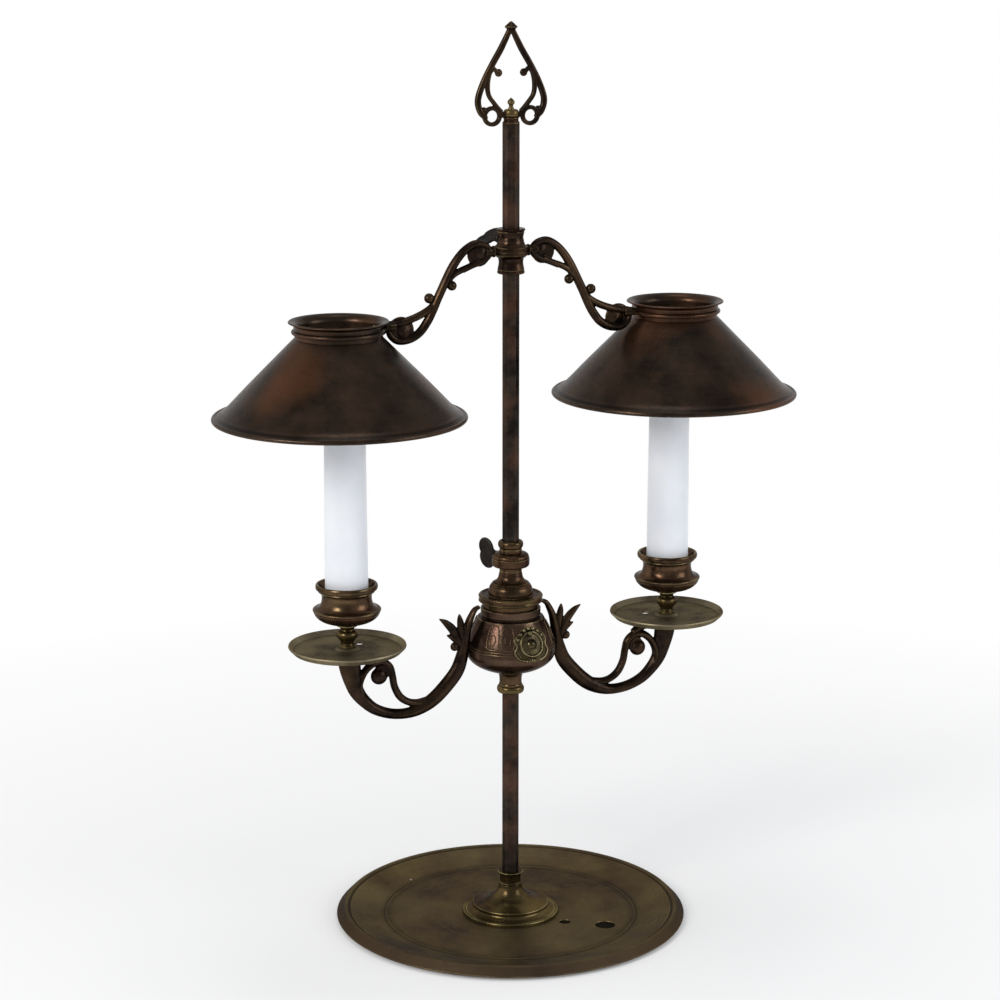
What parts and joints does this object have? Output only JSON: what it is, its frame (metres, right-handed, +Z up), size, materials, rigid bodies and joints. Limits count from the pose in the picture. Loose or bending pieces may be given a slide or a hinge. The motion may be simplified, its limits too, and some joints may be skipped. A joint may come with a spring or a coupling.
{
  "type": "bouillotte lamp",
  "caption": "Brass table lamp for candles: dished base, hexagonal stem, scrolled candle arms on an urn and cone shades, both pairs sliding and turning on the stem.",
  "frame": {"origin": "on the table under the middle of the stem, in the plane of the base's underside", "axes": "+X towards the lamp's right arm pair, +Y towards its back, +Z up along the stem"},
  "size_m": [0.324, 0.192, 0.4873],
  "materials": {
    "old_brass": "olive-brown patina on turned and spun brass, lighter on the edges",
    "bronze": "very dark bronze patina on cast and turned brass",
    "red_copper": "dark brown patina with a copper-red tint, rubbed brassy on the edges",
    "dark_iron": "drawn steel bar, dark brown oxide with fine pitting",
    "grey_steel": "worn grey steel",
    "bright_brass": "rubbed bright brass",
    "wax": "smooth white candle wax, a little translucent",
    "cotton": "braided cotton wick, waxed"
  },
  "bodies": {
    "stand": {"base_plate": "old_brass", "foot_ring": "old_brass", "foot_flare": "old_brass", "base_washer": "old_brass", "base_nut": "dark_iron", "stem_rod": "dark_iron", "finial_ferrule": "bronze", "finial_frame": "bronze", "finial_screw": "old_brass"},
    "shade_slide": {"shade_bush": "bronze", "shade_bush_nut": "bronze"},
    "shade_carrier": {"shade_collar": "bronze", "shade_bracket_left": "bronze", "shade_bracket_right": "bronze", "shade_neck_left": "red_copper", "shade_neck_right": "red_copper", "shade_cone_left": "red_copper", "shade_cone_right": "red_copper", "shade_rivets": "bright_brass"},
    "shade_screw": {"shade_thumb_screw": "grey_steel"},
    "candle_slide": {"candle_sleeve": "bronze", "sleeve_nut": "bronze"},
    "candle_carrier": {"candle_collar": "bronze", "urn_cap": "bronze", "urn_body": "red_copper", "urn_tail": "bronze", "urn_ornament_front": "bronze", "urn_ornament_back": "bronze", "candle_arm_left": "bronze", "candle_arm_right": "bronze", "arm_screws": "grey_steel", "drip_pan_left": "old_brass", "drip_pan_right": "old_brass", "cup_stem_left": "old_brass", "cup_stem_right": "old_brass", "cup_stud_left": "grey_steel", "cup_stud_right": "grey_steel", "candle_cup_left": "red_copper", "candle_cup_right": "red_copper"},
    "candle_screw": {"candle_thumb_screw": "grey_steel"},
    "left_candle": {"candle_left": "wax", "wick_left": "cotton"},
    "right_candle": {"candle_right": "wax", "wick_right": "cotton"}
  },
  "joints": [
    {"name": "shade_height", "type": "slide", "parent": "stand", "child": "shade_slide", "axis": [0, 0, 1], "range_m": [0, 0.05]},
    {"name": "shade_turn", "type": "hinge", "parent": "shade_slide", "child": "shade_carrier", "pos_m": [0, 0, 0.3688], "axis": [0, 0, 1], "continuous": true},
    {"name": "shade_screw_turn", "type": "hinge", "parent": "shade_carrier", "child": "shade_screw", "pos_m": [0, 0, 0.3745], "axis": [0.342, -0.9397, 0], "range_deg": [-360, 0]},
    {"name": "candle_height", "type": "slide", "parent": "stand", "child": "candle_slide", "axis": [0, 0, 1], "range_m": [-0.1, 0]},
    {"name": "candle_turn", "type": "hinge", "parent": "candle_slide", "child": "candle_carrier", "pos_m": [0, 0, 0.2], "axis": [0, 0, 1], "continuous": true},
    {"name": "candle_screw_turn", "type": "hinge", "parent": "candle_carrier", "child": "candle_screw", "pos_m": [0, 0, 0.20205], "axis": [0.342, -0.9397, 0], "range_deg": [-360, 0]},
    {"name": "left_candle_lift", "type": "slide", "parent": "candle_carrier", "child": "left_candle", "axis": [0, 0, 1], "range_m": [0, 0.02]},
    {"name": "right_candle_lift", "type": "slide", "parent": "candle_carrier", "child": "right_candle", "axis": [0, 0, 1], "range_m": [0, 0.02]}
  ]
}
